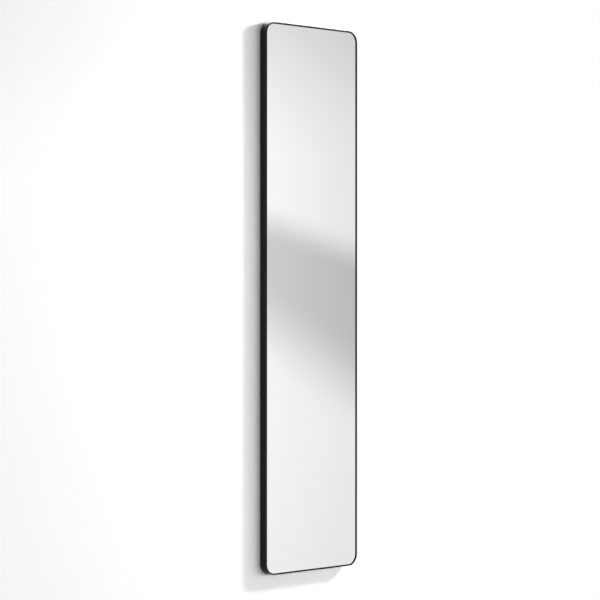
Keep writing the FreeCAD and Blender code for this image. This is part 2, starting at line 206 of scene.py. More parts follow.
wall, tree, place, behind = add_stage_sheet("wall", (0, WALL_GAP, front_middle.z), (math.pi / 2, 0, 0))
bends = (frame_high.x - CORNER_RADIUS, frame_high.z - front_middle.z - CORNER_RADIUS, 0)
past_bends = vector_calc(tree, "SUBTRACT", vector_calc(tree, "ABSOLUTE", place), bends)
outward = vector_calc(tree, "LENGTH", vector_calc(tree, "MAXIMUM", past_bends, (0, 0, 0)))
beside = soft_step(tree, calc(tree, "SUBTRACT", outward, CORNER_RADIUS), *GAP_SHADE)
along = add_node(tree, "ShaderNodeSeparateXYZ", {"Vector": place}).outputs
tone = soft_step(tree, along["Y"], *TOP_SHADE, WALL_WHITE, WALL_TOP_WHITE)
bright_side = soft_step(tree, along["X"], *BRIGHT_SIDE)
white = calc(tree, "MAXIMUM", far_fade(tree, place), bright_side)
gloss = add_node(tree, "ShaderNodeLightPath").outputs["Is Glossy Ray"]
hidden_gloss = calc(tree, "MULTIPLY", gloss, calc(tree, "SUBTRACT", 1.0, beside))
unseen = calc(tree, "MAXIMUM", behind, hidden_gloss)
finish_paint(tree, calc(tree, "MULTIPLY", beside, tone), white, unseen)

floor, tree, place, behind = add_stage_sheet("floor", (0, 0, cad_low.z - FLOOR_DROP), (0, 0, 0))
floor.visible_glossy = False
finish_paint(tree, (FLOOR_GREY,) * 3 + (1,), far_fade(tree, place), behind)
print("stage:", wall.name, "and", floor.name)

# %% [markdown]
# ## The lamps
# The shadow on the wall tells where the light came from. It has a fairly crisp edge to the left of the
# frame and below it, so the main lamp is small and stands high on the right. The shadow drops further at
# the foot than at the top, and the wall darkens away from the lamp, so the lamp is near: a round bulb and
# not a sun, which would light everything alike. Close to the frame the wall darkens step by step, as
# beside a wide window, so a row of large weak bulbs stands well back at the mirror's own height, from
# straight ahead round to the right. A weak sun from below stands for light that the floor throws back,
# and two suns behind the wall light the mirror's back, which nothing in front can reach. A level of 1
# makes a white surface that faces the lamp white.

# %% Set the lamps
KEY_PLACE, KEY_LEVEL, KEY_RADIUS = (3.1, -1.36, 0.79), 1.3, 0.33
FILL_BEARINGS = (-1, 17, 35, 53)
FILL_DISTANCE, FILL_RADIUS, FILL_WALL_LEVEL = 10.0, 1.76, 0.121


def add_sun(name, bearing, rise, level, spread, in_gloss=False):
    """Add a sun that stands at a bearing to the right of the mirror's front and at a rise, in degrees."""
    turn, climb = math.radians(bearing), math.radians(rise)
    level_reach = math.cos(climb)
    towards = Vector((level_reach * math.sin(turn), -level_reach * math.cos(turn), math.sin(climb)))
    bpy.ops.object.light_add(type="SUN", rotation=towards.to_track_quat("Z", "Y").to_euler())
    sun = bpy.context.object
    sun.name = name
    sun.data.energy = level * math.pi
    sun.data.angle = math.radians(spread)
    sun.visible_glossy = in_gloss
    print(f"{name}: bearing {bearing}, rise {rise}, level {level}")


def add_bulb(name, place, level, radius):
    """Add a round lamp at a place, with a level as measured at the middle of the mirror's front."""
    bpy.ops.object.light_add(type="POINT", location=place)
    bulb = bpy.context.object
    bulb.name = name
    bulb.data.shadow_soft_size = radius
    bulb.data.energy = level * (bulb.location - front_middle).length_squared * (2 * math.pi) ** 2
    bulb.visible_camera = False
    bulb.visible_glossy = False
    print(f"{name}: at {[round(side, 2) for side in place]}, level {level:.2f}")


add_bulb("key", KEY_PLACE, KEY_LEVEL, KEY_RADIUS)
for bearing in FILL_BEARINGS:
    turn = math.radians(bearing)
    place = Vector((math.sin(turn), -math.cos(turn), 0)) * FILL_DISTANCE + front_middle
    add_bulb(f"fill_{bearing}", place, FILL_WALL_LEVEL / math.cos(turn), FILL_RADIUS)
add_sun("bounce", bearing=20, rise=-40, level=0.06, spread=60)
add_sun("back_key", bearing=145, rise=35, level=0.55, spread=20, in_gloss=True)
add_sun("back_fill", bearing=195, rise=5, level=0.35, spread=70)

# %% [markdown]
# ## The studio that the glass shows
# A mirror shows the room in front of it: here a pale studio with one soft grey band that crosses the
# glass at a slant. The band could be a card in front of the mirror, but a card has hard edges. So the
# world itself is painted by direction, with the height and the bearing of each ray in degrees. The
# camera sees plain white, glossy surfaces see the painted studio, and all else gets an even light.

# %% Paint the studio
AMBIENT = 0.17
STUDIO_LEVEL = 0.94
BAND_BEARING = 44.85
BAND_MIDDLE, BAND_HALF = -0.03, 1.58
BAND_SWING, BAND_HALF_SWING, BAND_PERIOD = 2.44, 0.69, 30.0
BAND_DEPTH, BAND_DEPTH_SWING = 0.363, 0.07
TOP_SOFTNESS, FOOT_SOFTNESS = 0.58, 1.4
SIDE_LOW, SIDE_HIGH, SIDE_REACH, SIDE_PERIOD = 0.095, 0.225, 9.0, 16.0
FALL_START, FALL_END = 3.0, 11.0
FALL_ABOVE, FALL_BELOW = 0.41, 0.09

world = bpy.data.worlds.new("studio")
scene.world = world
world.use_nodes = True
sky = world.node_tree
sky.nodes.clear()


def wave(period):
    """Swing between -1 and 1 with the bearing, through 0 where the band was measured."""
    turn = calc(sky, "MULTIPLY", calc(sky, "SUBTRACT", bearing, BAND_BEARING), math.tau / period)
    return calc(sky, "SINE", turn)


direction = add_node(sky, "ShaderNodeTexCoord").outputs["Generated"]
split = add_node(sky, "ShaderNodeSeparateXYZ", {"Vector": direction})
forward = calc(sky, "MULTIPLY", split.outputs["Y"], -1.0)
bearing = calc(sky, "DEGREES", calc(sky, "ARCTAN2", split.outputs["X"], forward))
height = calc(sky, "DEGREES", calc(sky, "ARCSINE", split.outputs["Z"]))

band_wave = wave(BAND_PERIOD)
middle = calc(sky, "MULTIPLY_ADD", band_wave, -BAND_SWING, BAND_MIDDLE)
half = calc(sky, "MULTIPLY_ADD", band_wave, BAND_HALF_SWING, BAND_HALF)
over_top = calc(sky, "SUBTRACT", height, calc(sky, "ADD", middle, half))
over_foot = calc(sky, "SUBTRACT", height, calc(sky, "SUBTRACT", middle, half))
under = soft_step(sky, over_top, -TOP_SOFTNESS, TOP_SOFTNESS, 1.0, 0.0)
above = soft_step(sky, over_foot, -FOOT_SOFTNESS, FOOT_SOFTNESS)
depth = calc(sky, "MULTIPLY_ADD", band_wave, BAND_DEPTH_SWING, BAND_DEPTH)
band = calc(sky, "MULTIPLY", calc(sky, "MULTIPLY", under, above), depth)

fall_up = soft_step(sky, height, FALL_START, FALL_END, 0.0, FALL_ABOVE)
fall_down = soft_step(sky, height, -FALL_START, -FALL_END, 0.0, FALL_BELOW)
fall = calc(sky, "SUBTRACT", 1.0, calc(sky, "ADD", fall_up, fall_down))
swing = soft_step(sky, height, -SIDE_REACH, SIDE_REACH, SIDE_LOW, SIDE_HIGH)
sides = calc(sky, "SUBTRACT", 1.0, calc(sky, "MULTIPLY", wave(SIDE_PERIOD), swing))
pale_room = calc(sky, "MULTIPLY", calc(sky, "MULTIPLY", sides, fall), STUDIO_LEVEL)
studio = calc(sky, "MULTIPLY", pale_room, calc(sky, "SUBTRACT", 1.0, band))

ray = add_node(sky, "ShaderNodeLightPath").outputs
other = calc(sky, "SUBTRACT", 1.0, calc(sky, "ADD", ray["Is Camera Ray"], ray["Is Glossy Ray"]))
seen = calc(sky, "MULTIPLY_ADD", ray["Is Glossy Ray"], studio, ray["Is Camera Ray"])
strength = calc(sky, "MULTIPLY_ADD", other, AMBIENT, seen)
backdrop = add_node(sky, "ShaderNodeBackground", {"Color": (1, 1, 1, 1), "Strength": strength})
add_node(sky, "ShaderNodeOutputWorld", {"Surface": backdrop.outputs["Background"]})
print("studio painted with", len(sky.nodes), "nodes")

# %% [markdown]
# ## Two effects that several finishes share
# Powder coat, rubber, board and zinc all have a fine grain, and only its size and strength differ.
# Rolled or drawn metal and wood have long streaks along one direction. Each effect is a node group with
# its own inputs, made once, so every finish can use it with its own values.

# %% Grain and streaks
NOISE_LOW, NOISE_HIGH = 0.3, 0.7
SPAN = [("Low", "Float"), ("High", "Float")]
MARKS = ["Value", "Height"]


def new_group(name, inputs, outputs):
    """Start a node group with named sockets, and hand back its tree and its two ends."""
    group = bpy.data.node_groups.new(name, "ShaderNodeTree")
    for socket, kind in inputs:
        group.interface.new_socket(socket, in_out="INPUT", socket_type="NodeSocket" + kind)
    for socket in outputs:
        group.interface.new_socket(socket, in_out="OUTPUT", socket_type="NodeSocketFloat")
    return group, add_node(group, "NodeGroupInput").outputs, add_node(group, "NodeGroupOutput").inputs


def between(tree, value, low, high):
    """Stretch the middle of a noise so that it fills the span from low to high."""
    limits = {
        "Value": value, "From Min": NOISE_LOW, "From Max": NOISE_HIGH, "To Min": low, "To Max": high}
    return add_node(tree, "ShaderNodeMapRange", limits).outputs["Result"]


grain, given, made = new_group("grain", [("Vector", "Vector"), ("Scale", "Float")] + SPAN, MARKS)
noise = add_node(grain, "ShaderNodeTexNoise", {
    "Vector": given["Vector"], "Scale": given["Scale"], "Detail": 4.0, "Roughness": 0.6})
feed(grain, made["Value"], between(grain, noise.outputs["Fac"], given["Low"], given["High"]))
feed(grain, made["Height"], noise.outputs["Fac"])

streaks, given, made = new_group("streaks", [("Vector", "Vector"), ("Stretch", "Vector")] + SPAN, MARKS)
drawn = vector_calc(streaks, "MULTIPLY", given["Vector"], given["Stretch"])
noise = add_node(streaks, "ShaderNodeTexNoise", {
    "Vector": drawn, "Scale": 1.0, "Detail": 5.0, "Roughness": 0.65})
feed(streaks, made["Value"], between(streaks, noise.outputs["Fac"], given["Low"], given["High"]))
feed(streaks, made["Height"], noise.outputs["Fac"])
print("groups:", grain.name, "and", streaks.name)

# %% [markdown]
# ## Helpers for finishes
# Every finish starts from one Principled shader. What is the same all over the surface is set on the
# shader itself. What changes over the surface comes from the groups, read in the piece's own
# coordinates in metres, so a scale of 1000 means marks about one millimetre wide.

# %% Finish helpers
def new_finish(name, **plain):
    """Start a material, and set what is the same all over its surface."""
    material = bpy.data.materials.new(name)
    material.use_nodes = True
    shader = material.node_tree.nodes["Principled BSDF"]
    for socket, value in plain.items():
        shader.inputs[socket.replace("_", " ")].default_value = value
    spot = add_node(material.node_tree, "ShaderNodeTexCoord").outputs["Object"]
    return material, material.node_tree, shader.inputs, spot


def add_effect(tree, group, **values):
    """Place a shared effect in a finish with its own values."""
    node = add_node(tree, "ShaderNodeGroup", node_tree=group)
    for name, value in values.items():
        feed(tree, node.inputs[name], value)
    return node.outputs


def tint(tree, factor, first, second):
    """Blend two colours."""
    node = add_node(tree, "ShaderNodeMix", data_type="RGBA")
    feed(tree, node.inputs["Factor"], factor)
    feed(tree, node.inputs["A"], (*first, 1) if isinstance(first, tuple) else first)
    feed(tree, node.inputs["B"], (*second, 1) if isinstance(second, tuple) else second)
    return node.outputs["Result"]


def bump(tree, height, distance, strength=1.0):
    """Raise and lower the surface by a height, over a distance in metres."""
    node = add_node(tree, "ShaderNodeBump", {"Height": height, "Distance": distance, "Strength": strength})
    return node.outputs["Normal"]


print("finish helpers ready")

# %% [markdown]
# ## Black powder coat
# The bar is sprayed with a fine dry powder that melts into a satin black skin. Close up the skin is not
# smooth: it has a fine, even texture, like the skin of an orange but much smaller. The texture breaks
# up reflections, so the black looks soft, and only the bends, which are seen at a low angle, shine a
# little. Its colour hardly changes from place to place.

# %% Make the powder coat
COAT_DARK, COAT_LIGHT = (0.0042, 0.0043, 0.0045), (0.0072, 0.0072, 0.0075)

coat, tree, surface, spot = new_finish("powder_coat_black", Specular_IOR_Level=0.22)
cloud = add_effect(tree, grain, Vector=spot, Scale=60.0, Low=0.0, High=1.0)
skin = add_effect(tree, grain, Vector=spot, Scale=1400.0, Low=0.34, High=0.46)
feed(tree, surface["Base Color"], tint(tree, cloud["Value"], COAT_DARK, COAT_LIGHT))
feed(tree, surface["Roughness"], skin["Value"])
feed(tree, surface["Normal"], bump(tree, skin["Height"], 0.06 * MM))
print("finish:", coat.name)

# %% [markdown]
# ## Silvered glass and its ground edge
# The glass is silvered all over, so it is best shown as bright metal with almost no roughness, a shade
# less than white and a very little green. A faint uneven haze is all that keeps it from being perfect.
# Its edge and the narrow ground bevel round the front show the green of the glass itself.

# %% Make the glass finishes
SILVER_CLEAN, SILVER_HAZED = (0.915, 0.922, 0.918), (0.905, 0.912, 0.908)
GLASS_GREEN, GLASS_DEEP = (0.050, 0.066, 0.060), (0.028, 0.044, 0.039)

silver, tree, surface, spot = new_finish("silvered_glass", Metallic=1.0)
haze = add_effect(tree, grain, Vector=spot, Scale=9.0, Low=0.0, High=1.0)
film = add_effect(tree, grain, Vector=spot, Scale=22.0, Low=0.004, High=0.012)
feed(tree, surface["Base Color"], tint(tree, haze["Value"], SILVER_CLEAN, SILVER_HAZED))
feed(tree, surface["Roughness"], film["Value"])

ground, tree, surface, spot = new_finish("ground_glass_edge", Coat_Weight=0.4, Coat_Roughness=0.08)
cuts = add_effect(tree, grain, Vector=spot, Scale=900.0, Low=0.18, High=0.34)
cloud = add_effect(tree, grain, Vector=spot, Scale=40.0, Low=0.0, High=1.0)
feed(tree, surface["Base Color"], tint(tree, cloud["Value"], GLASS_GREEN, GLASS_DEEP))
feed(tree, surface["Roughness"], cuts["Value"])
feed(tree, surface["Normal"], bump(tree, cuts["Height"], 0.03 * MM))
print("finishes:", silver.name, "and", ground.name)

# %% [markdown]
# ## Fibreboard
# The back is raw fibreboard: wood fibres pressed flat, with no grain direction. It is a warm brown with
# pale and dark flecks of fibre, a slow change of tone from pressing, and a dry, slightly furry surface.

# %% Make the fibreboard
BOARD_DARK, BOARD_PALE = (0.235, 0.150, 0.088), (0.375, 0.262, 0.165)
FLECK_DARK = (0.120, 0.070, 0.038)

fibreboard, tree, surface, spot = new_finish("raw_fibreboard", Specular_IOR_Level=0.25)
tone = add_effect(tree, grain, Vector=spot, Scale=7.0, Low=0.25, High=0.75)
fuzz = add_effect(tree, grain, Vector=spot, Scale=420.0, Low=0.0, High=1.0)
fleck = add_effect(tree, streaks, Vector=spot, Stretch=(380.0, 400.0, 1300.0), Low=0.0, High=1.0)
blend = calc(tree, "MULTIPLY_ADD", fuzz["Value"], 0.55, calc(tree, "MULTIPLY", tone["Value"], 0.45))
base = tint(tree, blend, BOARD_DARK, BOARD_PALE)
flecked = soft_step(tree, fleck["Value"], 0.72, 1.0, 0.0, 0.6)
feed(tree, surface["Base Color"], tint(tree, flecked, base, FLECK_DARK))
feed(tree, surface["Roughness"], calc(tree, "MULTIPLY_ADD", fuzz["Value"], 0.12, 0.74))
feed(tree, surface["Normal"], bump(tree, fuzz["Height"], 0.12 * MM))
print("finish:", fibreboard.name)

# %% [markdown]
# ## Plywood
# The battens are birch plywood. Their broad faces show a pale grain that runs along the batten. Their
# edges show the plies, turn and turn about light and dark, because every second ply is cut across its
# grain. The direction a surface faces tells the shader which of the two to show.

# %% Make the plywood
PLY_PITCH = 2.4 * MM
BIRCH_PALE, BIRCH_WARM = (0.640, 0.480, 0.310), (0.470, 0.320, 0.185)
PLY_PALE, PLY_DARK = (0.560, 0.405, 0.250), (0.270, 0.170, 0.095)

plywood, tree, surface, spot = new_finish("birch_plywood", Specular_IOR_Level=0.3)
veneer = add_effect(tree, streaks, Vector=spot, Stretch=(14.0, 300.0, 420.0), Low=0.0, High=1.0)
pores = add_effect(tree, streaks, Vector=spot, Stretch=(90.0, 900.0, 2200.0), Low=0.55, High=0.75)
axes = add_node(tree, "ShaderNodeSeparateXYZ", {"Vector": spot}).outputs
facing = add_node(tree, "ShaderNodeSeparateXYZ", {
    "Vector": add_node(tree, "ShaderNodeNewGeometry").outputs["Normal"]}).outputs
layer = calc(tree, "SINE", calc(tree, "MULTIPLY", axes["Y"], math.tau / PLY_PITCH))
plies = tint(tree, soft_step(tree, layer, -0.25, 0.25), PLY_PALE, PLY_DARK)
broad = soft_step(tree, calc(tree, "ABSOLUTE", facing["Y"]), 0.55, 0.85)
face = tint(tree, veneer["Value"], BIRCH_PALE, BIRCH_WARM)
feed(tree, surface["Base Color"], tint(tree, broad, plies, face))
feed(tree, surface["Roughness"], pores["Value"])
feed(tree, surface["Normal"], bump(tree, pores["Height"], 0.08 * MM))
print("finish:", plywood.name)

# %% [markdown]
# ## Drawn aluminium, zinc and rubber
# The rails are extruded: the die leaves fine straight lines along their length, which stretch every
# highlight. The screws are zinc plated, a cool grey metal with a soft mottling. The bumpers are moulded
# rubber, nearly black, with a dull even skin that picks up a little pale dust.

# %% Make the metals and the rubber
ALUMINIUM_BRIGHT, ALUMINIUM_DULL = (0.780, 0.785, 0.795), (0.640, 0.645, 0.655)
ZINC_COOL, ZINC_WARM = (0.600, 0.620, 0.640), (0.660, 0.640, 0.560)
RUBBER_DARK, RUBBER_DUSTY = (0.014, 0.014, 0.015), (0.045, 0.044, 0.042)

aluminium, tree, surface, spot = new_finish("drawn_aluminium", Metallic=1.0)
lines = add_effect(tree, streaks, Vector=spot, Stretch=(3.0, 2600.0, 2600.0), Low=0.0, High=1.0)
gloss = add_effect(tree, streaks, Vector=spot, Stretch=(3.0, 1400.0, 1400.0), Low=0.24, High=0.42)
feed(tree, surface["Base Color"], tint(tree, lines["Value"], ALUMINIUM_BRIGHT, ALUMINIUM_DULL))
feed(tree, surface["Roughness"], gloss["Value"])
feed(tree, surface["Normal"], bump(tree, lines["Height"], 0.02 * MM))

zinc, tree, surface, spot = new_finish("zinc_plate", Metallic=1.0)
mottle = add_effect(tree, grain, Vector=spot, Scale=320.0, Low=0.0, High=1.0)
gloss = add_effect(tree, grain, Vector=spot, Scale=900.0, Low=0.26, High=0.44)
feed(tree, surface["Base Color"], tint(tree, mottle["Value"], ZINC_COOL, ZINC_WARM))
feed(tree, surface["Roughness"], gloss["Value"])
feed(tree, surface["Normal"], bump(tree, gloss["Height"], 0.02 * MM))

rubber, tree, surface, spot = new_finish("moulded_rubber", Specular_IOR_Level=0.35)
dust = add_effect(tree, grain, Vector=spot, Scale=180.0, Low=0.0, High=0.6)
skin = add_effect(tree, grain, Vector=spot, Scale=1500.0, Low=0.62, High=0.82)
feed(tree, surface["Base Color"], tint(tree, dust["Value"], RUBBER_DARK, RUBBER_DUSTY))
feed(tree, surface["Roughness"], skin["Value"])
feed(tree, surface["Normal"], bump(tree, skin["Height"], 0.08 * MM))
print("finishes:", aluminium.name, zinc.name, rubber.name)

# %% [markdown]
# ## Film and foam tape
# These two lie between the glass and the board, where only a very close look into the gap finds them.
# The film is a grey woven-backed sheet that holds the pieces of a broken mirror. The tape is white foam
# with open cells along its cut edges.

# %% Make the film and the foam
FILM_GREY, FILM_BLUE = (0.33, 0.34, 0.36), (0.25, 0.27, 0.31)
FOAM_WHITE, FOAM_SHADE = (0.80, 0.80, 0.78), (0.62, 0.62, 0.60)

safety_film, tree, surface, spot = new_finish("backing_film", Specular_IOR_Level=0.4)
weave = add_effect(tree, grain, Vector=spot, Scale=700.0, Low=0.30, High=0.50)
cloud = add_effect(tree, grain, Vector=spot, Scale=30.0, Low=0.0, High=1.0)
feed(tree, surface["Base Color"], tint(tree, cloud["Value"], FILM_GREY, FILM_BLUE))
feed(tree, surface["Roughness"], weave["Value"])
feed(tree, surface["Normal"], bump(tree, weave["Height"], 0.04 * MM))

foam, tree, surface, spot = new_finish("foam_tape_white", Specular_IOR_Level=0.2)
cells = add_effect(tree, grain, Vector=spot, Scale=2600.0, Low=0.0, High=1.0)
feed(tree, surface["Base Color"], tint(tree, cells["Value"], FOAM_WHITE, FOAM_SHADE))
feed(tree, surface["Roughness"], calc(tree, "MULTIPLY_ADD", cells["Value"], 0.15, 0.75))
feed(tree, surface["Normal"], bump(tree, cells["Height"], 0.1 * MM))
print("finishes:", safety_film.name, "and", foam.name)

# %% [markdown]
# ## Dress the solids that keep their shape
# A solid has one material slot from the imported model. We put the new finish in that slot, and match by
# the name that the slot had, so that every solid is dressed by one loop. The suns behind the wall shine
# on the brown board, which would throw a brown tinge on the wall beside the frame. A real wall lets no
# sun through, so the board is left out of the light that surfaces throw on each other.

# %% Put the finishes on the solids
FINISHES = {
    "frame_black": coat,
    "mirror_silver": silver,
    "film_grey": safety_film,
    "foam_white": foam,
    "board_fibre": fibreboard,
    "batten_wood": plywood,
    "rail_aluminium": aluminium,
    "screw_zinc": zinc,
    "bumper_rubber": rubber,
}

for node in nodes.values():
    for slot in node.material_slots:
        slot.material = FINISHES[slot.material.name]
nodes["backboard"].visible_diffuse = False
print("dressed", len(nodes), "solids")

# %% [markdown]
# ## Helpers for modelling
# The new pieces are modelled as by hand: a primitive is added, shaped in edit mode, and finished. Faces
# and edges are picked in code, by where they are or which way they face. A finished piece rides on a
# body of the mirror, so it moves with it, and stands for the solid that it replaces.

# %% Modelling helpers
SHARP = math.radians(50)


def start_edit(name):
    """Name the new primitive, bake its place into its mesh and open it for editing."""
    piece = bpy.context.object
    piece.name = name
    piece.data.name = name
    bpy.ops.object.transform_apply(location=True, rotation=True, scale=True)
    bpy.ops.object.mode_set(mode="EDIT")
    return piece


def pick(piece, kind, test):
    """In edit mode, select the faces, edges or points that pass a test, and nothing else."""
    bpy.ops.mesh.select_mode(type={"faces": "FACE", "edges": "EDGE", "verts": "VERT"}[kind])
    bpy.ops.mesh.select_all(action="DESELECT")
    shape = bmesh.from_edit_mesh(piece.data)
    for element in getattr(shape, kind):
        if test(element):
            element.select_set(True)
    shape.select_flush_mode()
    bmesh.update_edit_mesh(piece.data)


def extrude(*step):
    """Extrude what is selected by a step along X, Y and Z."""
    bpy.ops.mesh.extrude_region_move(TRANSFORM_OT_translate={"value": step})


def soften(width, segments=2):
    """Bevel every sharp edge of the open piece."""
    bpy.ops.mesh.select_mode(type="EDGE")
    bpy.ops.mesh.select_all(action="DESELECT")
    bpy.ops.mesh.edges_select_sharp(sharpness=SHARP)
    bpy.ops.mesh.bevel(offset=width, segments=segments)


def end_edit(piece, smooth_angle=30):
    """Turn all faces outwards, leave edit mode, and shade bends smooth and broad faces flat."""
    bpy.ops.mesh.select_all(action="SELECT")
    bpy.ops.mesh.normals_make_consistent(inside=False)
    bpy.ops.object.mode_set(mode="OBJECT")
    bpy.ops.object.shade_smooth_by_angle(angle=math.radians(smooth_angle))
    even = piece.modifiers.new("even_shading", "WEIGHTED_NORMAL")
    even.keep_sharp = True
    bpy.ops.object.modifier_apply(modifier=even.name)


def join_mirror(piece, slot, *stands_for, body="mirror"):
    """Let a piece ride on a body and stand for some solids. The slot is not used."""
    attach(piece, body)
    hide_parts(*stands_for)
    print(piece.name, "made of", len(piece.data.polygons), "faces")


print("modelling helpers ready")

# %% [markdown]
# ## The frame
# The frame is one length of flat steel bar, bent on edge round four corners and welded into a ring. It
# starts as a flat sheet of the frame's outside size. Bevelling its four points rounds the corners, an
# inset by the bar's thickness marks the ring, and once the middle is deleted the ring is extruded to the
# bar's width. A small bevel then softens the long edges, where the real bar catches the light.

# %% Model the frame
CORNER_STEPS = 24
BAR_THICK = 3 * MM
BAR_EDGE = 0.4 * MM


def start_rounded_sheet(name, low, high, radius):
    """A flat sheet across the front of a box, with its four corners rounded."""
    bpy.ops.object.select_all(action="DESELECT")
    middle = (low + high) / 2
    bpy.ops.mesh.primitive_plane_add(
        size=1, location=(middle.x, low.y, middle.z), rotation=(math.pi / 2, 0, 0))
    bpy.context.object.scale = (high.x - low.x, high.z - low.z, 1)
    sheet = start_edit(name)
    bpy.ops.mesh.select_all(action="SELECT")
    bpy.ops.mesh.bevel(offset=radius, segments=CORNER_STEPS, affect="VERTICES")
    return sheet


ring = start_rounded_sheet("frame_band", frame_low, frame_high, CORNER_RADIUS)
bpy.ops.mesh.select_all(action="SELECT")
bpy.ops.mesh.inset(thickness=BAR_THICK)
bpy.ops.mesh.delete(type="FACE")
bpy.ops.mesh.select_all(action="SELECT")
extrude(0, frame_high.y - frame_low.y, 0)
soften(BAR_EDGE, segments=3)
end_edit(ring)
ring.data.materials.append(coat)
join_mirror(ring, "frame_black", "frame_bar")

# %% [markdown]
# ## The glass
# The glass starts as the same kind of sheet, a little smaller than the inside of the bar, and is
# extruded to its thickness. A one-step bevel round the front is the ground edge that keeps fingers
# safe. The front face alone gets the silver, and all the rest gets the finish of ground glass.

# %% Model the glass
GLASS_GAP = 1 * MM
ARRIS = 0.6 * MM
FRONT_FACING = -0.99

glass_low, glass_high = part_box("mirror_glass")
pane = start_rounded_sheet("mirror_pane", glass_low, glass_high, CORNER_RADIUS - BAR_THICK - GLASS_GAP)
bpy.ops.mesh.select_all(action="SELECT")
extrude(0, glass_high.y - glass_low.y, 0)
pick(pane, "edges", lambda edge: all(point.co.y < glass_low.y + ARRIS / 2 for point in edge.verts))
bpy.ops.mesh.bevel(offset=ARRIS, segments=1)
end_edit(pane)
pane.data.materials.append(silver)
pane.data.materials.append(ground)
for face in pane.data.polygons:
    face.material_index = 0 if face.normal.y < FRONT_FACING else 1
join_mirror(pane, "mirror_silver", "mirror_glass")

# %% [markdown]
# ## The hooked rails
# Two lengths of one aluminium section carry the mirror. One is screwed to the wall with its hook up, the
# other sits upside down on the mirror, and the hooks lock. The section could be a box with a groove cut
# into it. It is nearer to the real thing to draw the section once, flat, by extruding edges, and then to
# pull it along its length, as the die does.

# %% Draw and pull the rail section
RAIL_THICK = 2.5 * MM
TINY = 0.01 * MM

wall_rail_low, wall_rail_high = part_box("wall_rail")
rail_length = wall_rail_high.x - wall_rail_low.x
half_base = -wall_rail_low.z
ledge = half_base - RAIL_THICK
hook_back = wall_rail_low.y + RAIL_THICK


def start_rail(name, hook_tip):
    """Draw the section as it stands on the wall, with its hook up to a height, and pull it out."""
    bpy.ops.object.select_all(action="DESELECT")
    bpy.ops.mesh.primitive_plane_add(
        size=1, location=(wall_rail_low.x, -RAIL_THICK / 2, 0), rotation=(0, math.pi / 2, 0))
    bpy.context.object.scale = (2 * half_base, RAIL_THICK, 1)
    rail = start_edit(name)
    bpy.ops.mesh.select_all(action="SELECT")
    bpy.ops.mesh.bisect(plane_co=(0, 0, ledge), plane_no=(0, 0, 1))
    pick(rail, "edges", lambda edge: all(
        point.co.y < TINY - RAIL_THICK and point.co.z > ledge - TINY for point in edge.verts))
    extrude(0, hook_back + RAIL_THICK, 0)
    extrude(0, -RAIL_THICK, 0)
    pick(rail, "edges", lambda edge: all(
        point.co.y < hook_back + TINY and point.co.z > half_base - TINY for point in edge.verts))
    extrude(0, 0, hook_tip - half_base)
    bpy.ops.mesh.select_mode(type="FACE")
    bpy.ops.mesh.select_all(action="SELECT")
    extrude(rail_length, 0, 0)
    bpy.ops.mesh.select_all(action="SELECT")
    bpy.ops.mesh.dissolve_limited(angle_limit=math.radians(1))
    bpy.ops.mesh.normals_make_consistent(inside=False)
    bpy.ops.object.mode_set(mode="OBJECT")
    return rail


mirror_rail_low, mirror_rail_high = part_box("mirror_rail")
mirror_rail_height = mirror_rail_high.z - mirror_rail_low.z
wall_hook = start_rail("wall_hook_rail", wall_rail_high.z)
mirror_hook = start_rail("mirror_hook_rail", mirror_rail_height - half_base)
print("pulled two rails of", round(rail_length, 3), "m")

# %% [markdown]
# The wall's rail has two slots, so that the mirror can be set level after its screws are in. The mirror's
# rail has four round holes. Both are cut as in a workshop: a round cutter, stretched sideways for a slot,
# is taken away from the rail with a Boolean. Then a bevel takes the sharpness off every edge, the rims of
# the holes too, and the mirror's rail is turned over and moved to its place.

# %% Cut the slots and holes
CUTTER_SIDES = 48
CUTTER_LENGTH = 10 * MM
SLOT_REACH, SLOT_WIDTH, SLOT_LENGTH = 90 * MM, 5.5 * MM, 14 * MM
SCREW_HOLE = 2.25 * MM
RAIL_SCREWS, RAIL_SCREW_REACH = 4, 105 * MM
RAIL_EDGE = 0.3 * MM


def add_cutter(x, y, radius, stretch=0.0):
    """A round cutter that points at the wall, stretched sideways where it cuts a slot."""
    bpy.ops.object.select_all(action="DESELECT")
    bpy.ops.mesh.primitive_cylinder_add(
        vertices=CUTTER_SIDES, radius=radius, depth=CUTTER_LENGTH, location=(x, y, 0),
        rotation=(math.pi / 2, math.pi / CUTTER_SIDES, 0))
    cutter = start_edit("cutter")
    for side in (-1, 1):
        pick(cutter, "verts", lambda point: side * (point.co.x - x) > 0)
        bpy.ops.transform.translate(value=(side * stretch / 2, 0, 0))
    bpy.ops.object.mode_set(mode="OBJECT")
    return cutter


def cut_out(piece, cutter):
    """Take the shape of a cutter away from a piece, and throw the cutter away."""
    bpy.context.view_layer.objects.active = piece
    cut = piece.modifiers.new("cut", "BOOLEAN")
    cut.operation = "DIFFERENCE"
    cut.object = cutter
    bpy.ops.object.modifier_apply(modifier=cut.name)
    bpy.data.meshes.remove(cutter.data)


def take_up(piece):
    """Select one piece alone and make it active."""
    bpy.ops.object.select_all(action="DESELECT")
    piece.select_set(True)
    bpy.context.view_layer.objects.active = piece


def settle(piece, place, turn=(0, 0, 0)):
    """Move a piece to its place and bake the place into its mesh."""
    take_up(piece)
    piece.location = place
    piece.rotation_euler = turn
    bpy.ops.object.transform_apply(location=True, rotation=True, scale=True)


